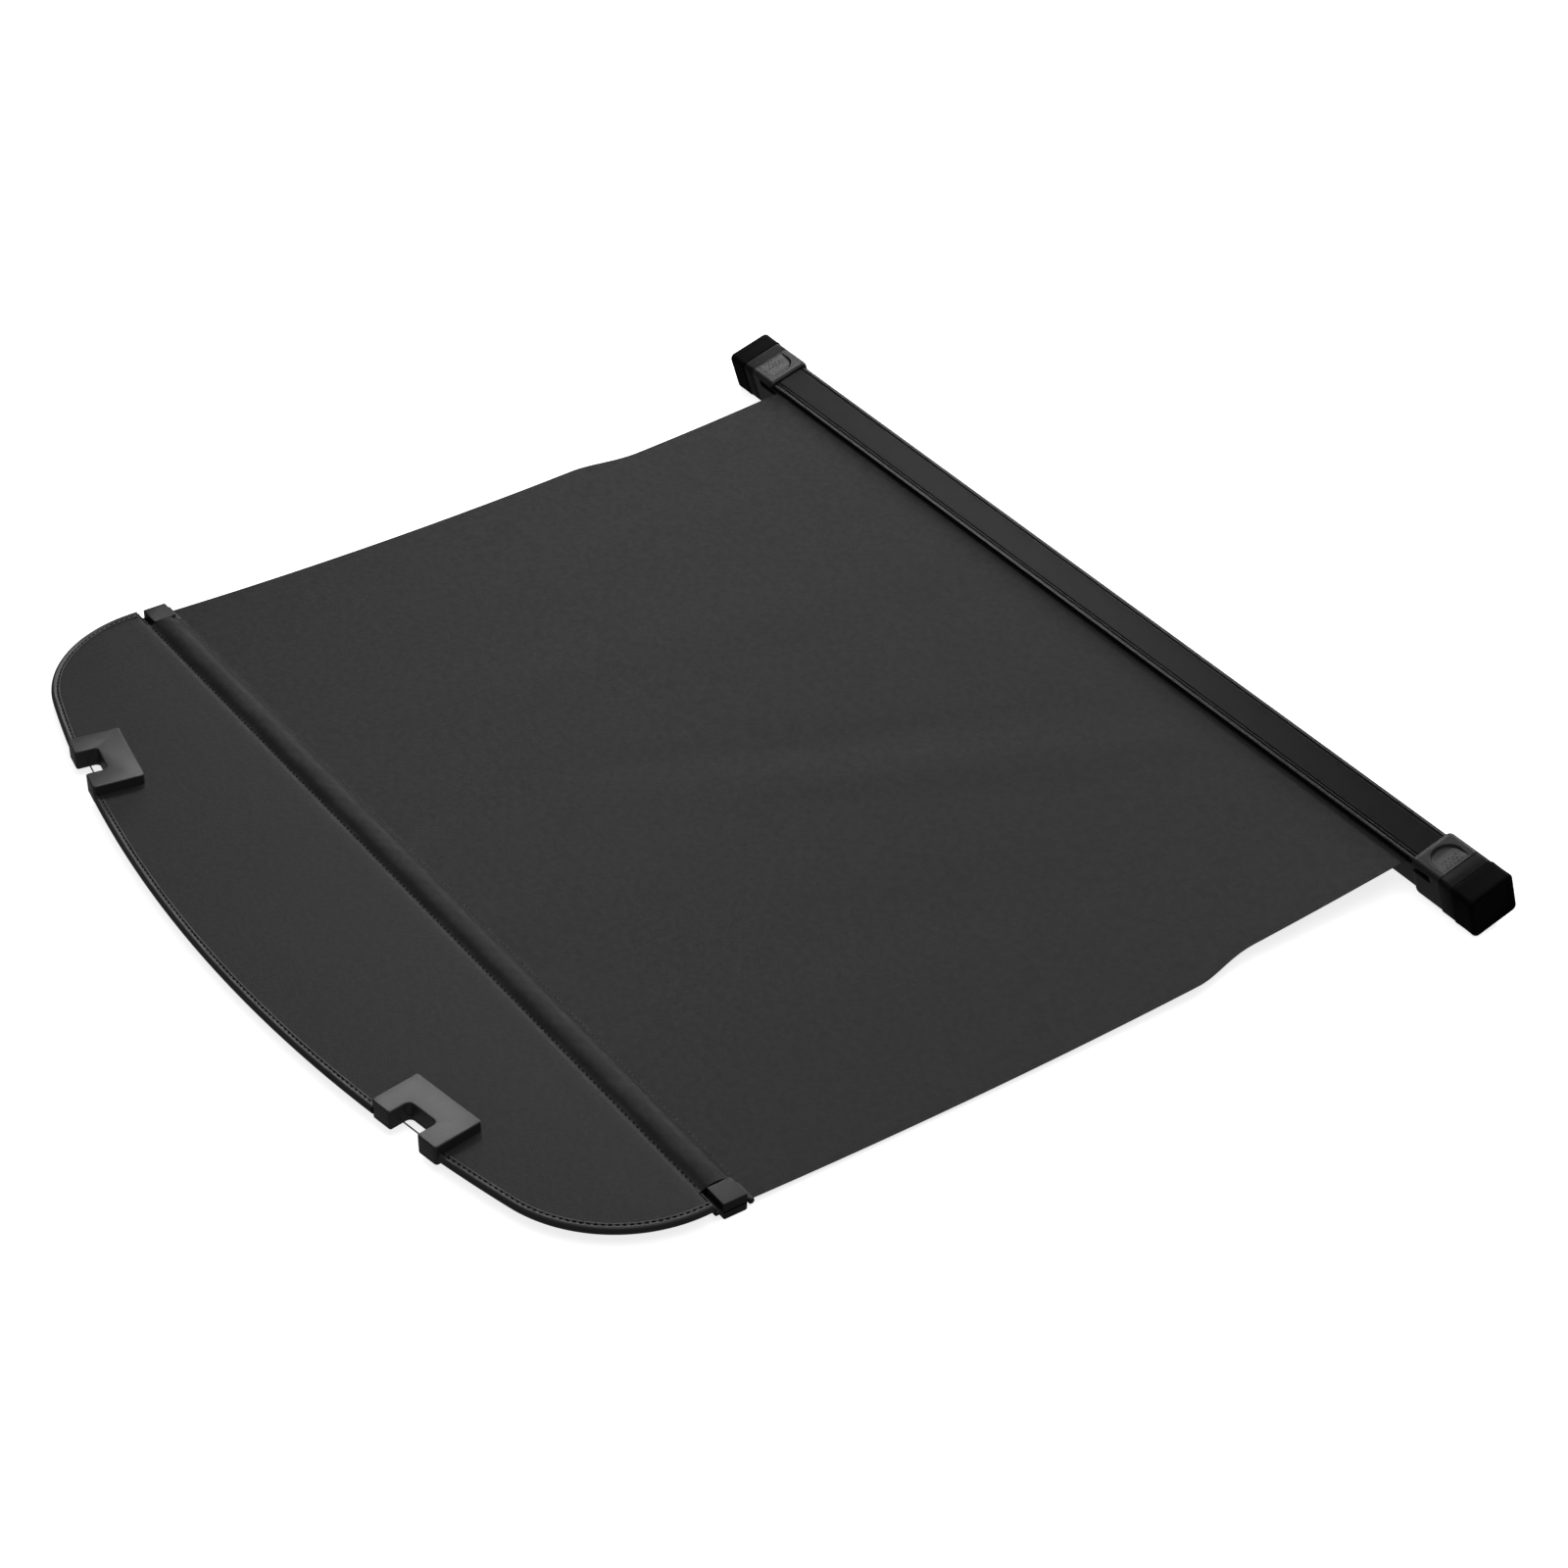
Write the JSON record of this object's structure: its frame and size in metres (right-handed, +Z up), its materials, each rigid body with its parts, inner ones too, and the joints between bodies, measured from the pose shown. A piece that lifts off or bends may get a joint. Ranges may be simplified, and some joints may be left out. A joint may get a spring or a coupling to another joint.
{
  "type": "retractable cargo cover",
  "caption": "Roller cassette with sprung push-in ends, a pull-out leatherette sheet, a pull bar and a stiff curved rear flap with notched hook brackets.",
  "frame": {"origin": "on the floor at the middle of the footprint, with the sheet pulled out", "axes": "+X along the cassette to its right end, +Y from the flap to the cassette, +Z up"},
  "size_m": [1.06, 0.897, 0.0496],
  "materials": {
    "housing_aluminium": "satin anodised extrusion",
    "bare_aluminium": "mill finish tube",
    "strip_black": "matt black strip",
    "guide_black": "matt glide strip",
    "grip_plastic": "satin moulded plastic",
    "band_plastic": "satin moulded plastic",
    "rubber_black": "soft moulded rubber",
    "inner_plastic": "plain moulded plastic",
    "bush_acetal": "white acetal",
    "spring_steel": "spring steel",
    "screw_steel": "zinc plated",
    "cover_vinyl": "grained black leatherette",
    "flap_vinyl": "grained black leatherette",
    "piping_vinyl": "folded edge binding",
    "board_fibre": "hardboard",
    "hook_plastic": "pebbled moulded plastic",
    "cap_plastic": "satin moulded plastic"
  },
  "bodies": {
    "cassette": {"cassette_housing": "housing_aluminium", "cassette_top_strip": "strip_black", "slot_guide": "guide_black", "end_plug_left": "inner_plastic", "end_plug_right": "inner_plastic", "end_plug_screws": "screw_steel", "idle_bush": "bush_acetal", "spring_shaft": "screw_steel", "spring_anchor": "inner_plastic", "sleeve_stop_screws": "screw_steel", "push_spring_left": "spring_steel", "push_spring_right": "spring_steel", "cover_sheet": "cover_vinyl"},
    "roller": {"roller_tube": "bare_aluminium", "roller_cap_idle": "inner_plastic", "roller_cap_drive": "inner_plastic", "wound_cloth": "cover_vinyl", "torsion_spring": "spring_steel"},
    "left_end": {"grip_sleeve_left": "grip_plastic", "end_block_left": "band_plastic", "rubber_boot_left": "rubber_black"},
    "right_end": {"grip_sleeve_right": "grip_plastic", "end_block_right": "band_plastic", "rubber_boot_right": "rubber_black"},
    "pull_bar": {"pull_bar": "bare_aluminium", "bar_sleeve": "cover_vinyl", "bar_cap_left": "cap_plastic", "bar_cap_right": "cap_plastic"},
    "flap": {"flap_board": "board_fibre", "flap_top_skin": "flap_vinyl", "flap_bottom_skin": "flap_vinyl", "flap_piping": "piping_vinyl", "hook_bracket_left": "hook_plastic", "hook_bracket_right": "hook_plastic", "hook_clamp_left": "hook_plastic", "hook_clamp_right": "hook_plastic", "hook_wire_left": "spring_steel", "hook_wire_right": "spring_steel", "hook_screws": "screw_steel"}
  },
  "joints": [
    {"name": "sheet_retract", "type": "slide", "parent": "cassette", "child": "pull_bar", "axis": [0, 0.9993, 0.0381], "range_m": [0, 0.63], "deforming": ["cover_sheet"]},
    {"name": "roller_turn", "type": "hinge", "parent": "cassette", "child": "roller", "pos_m": [0, 0.42223, 0.02384], "axis": [1, 0, 0], "range_deg": [-3040, 0], "deforming": ["torsion_spring"]},
    {"name": "flap_fold", "type": "hinge", "parent": "pull_bar", "child": "flap", "pos_m": [0, -0.27485, 0.013], "axis": [-1, 0, 0], "range_deg": [-30, 75]},
    {"name": "left_end_push", "type": "slide", "parent": "cassette", "child": "left_end", "axis": [1, 0, 0], "range_m": [0, 0.013], "stiffness_N_per_m": 600, "springref_m": -0.01, "deforming": ["push_spring_left"]},
    {"name": "right_end_push", "type": "slide", "parent": "cassette", "child": "right_end", "axis": [-1, 0, 0], "range_m": [0, 0.013], "stiffness_N_per_m": 600, "springref_m": -0.01, "deforming": ["push_spring_right"]}
  ],
  "couplings": [
    {"joint": "roller_turn", "follows": "sheet_retract", "rad_per_m": -83.5}
  ]
}
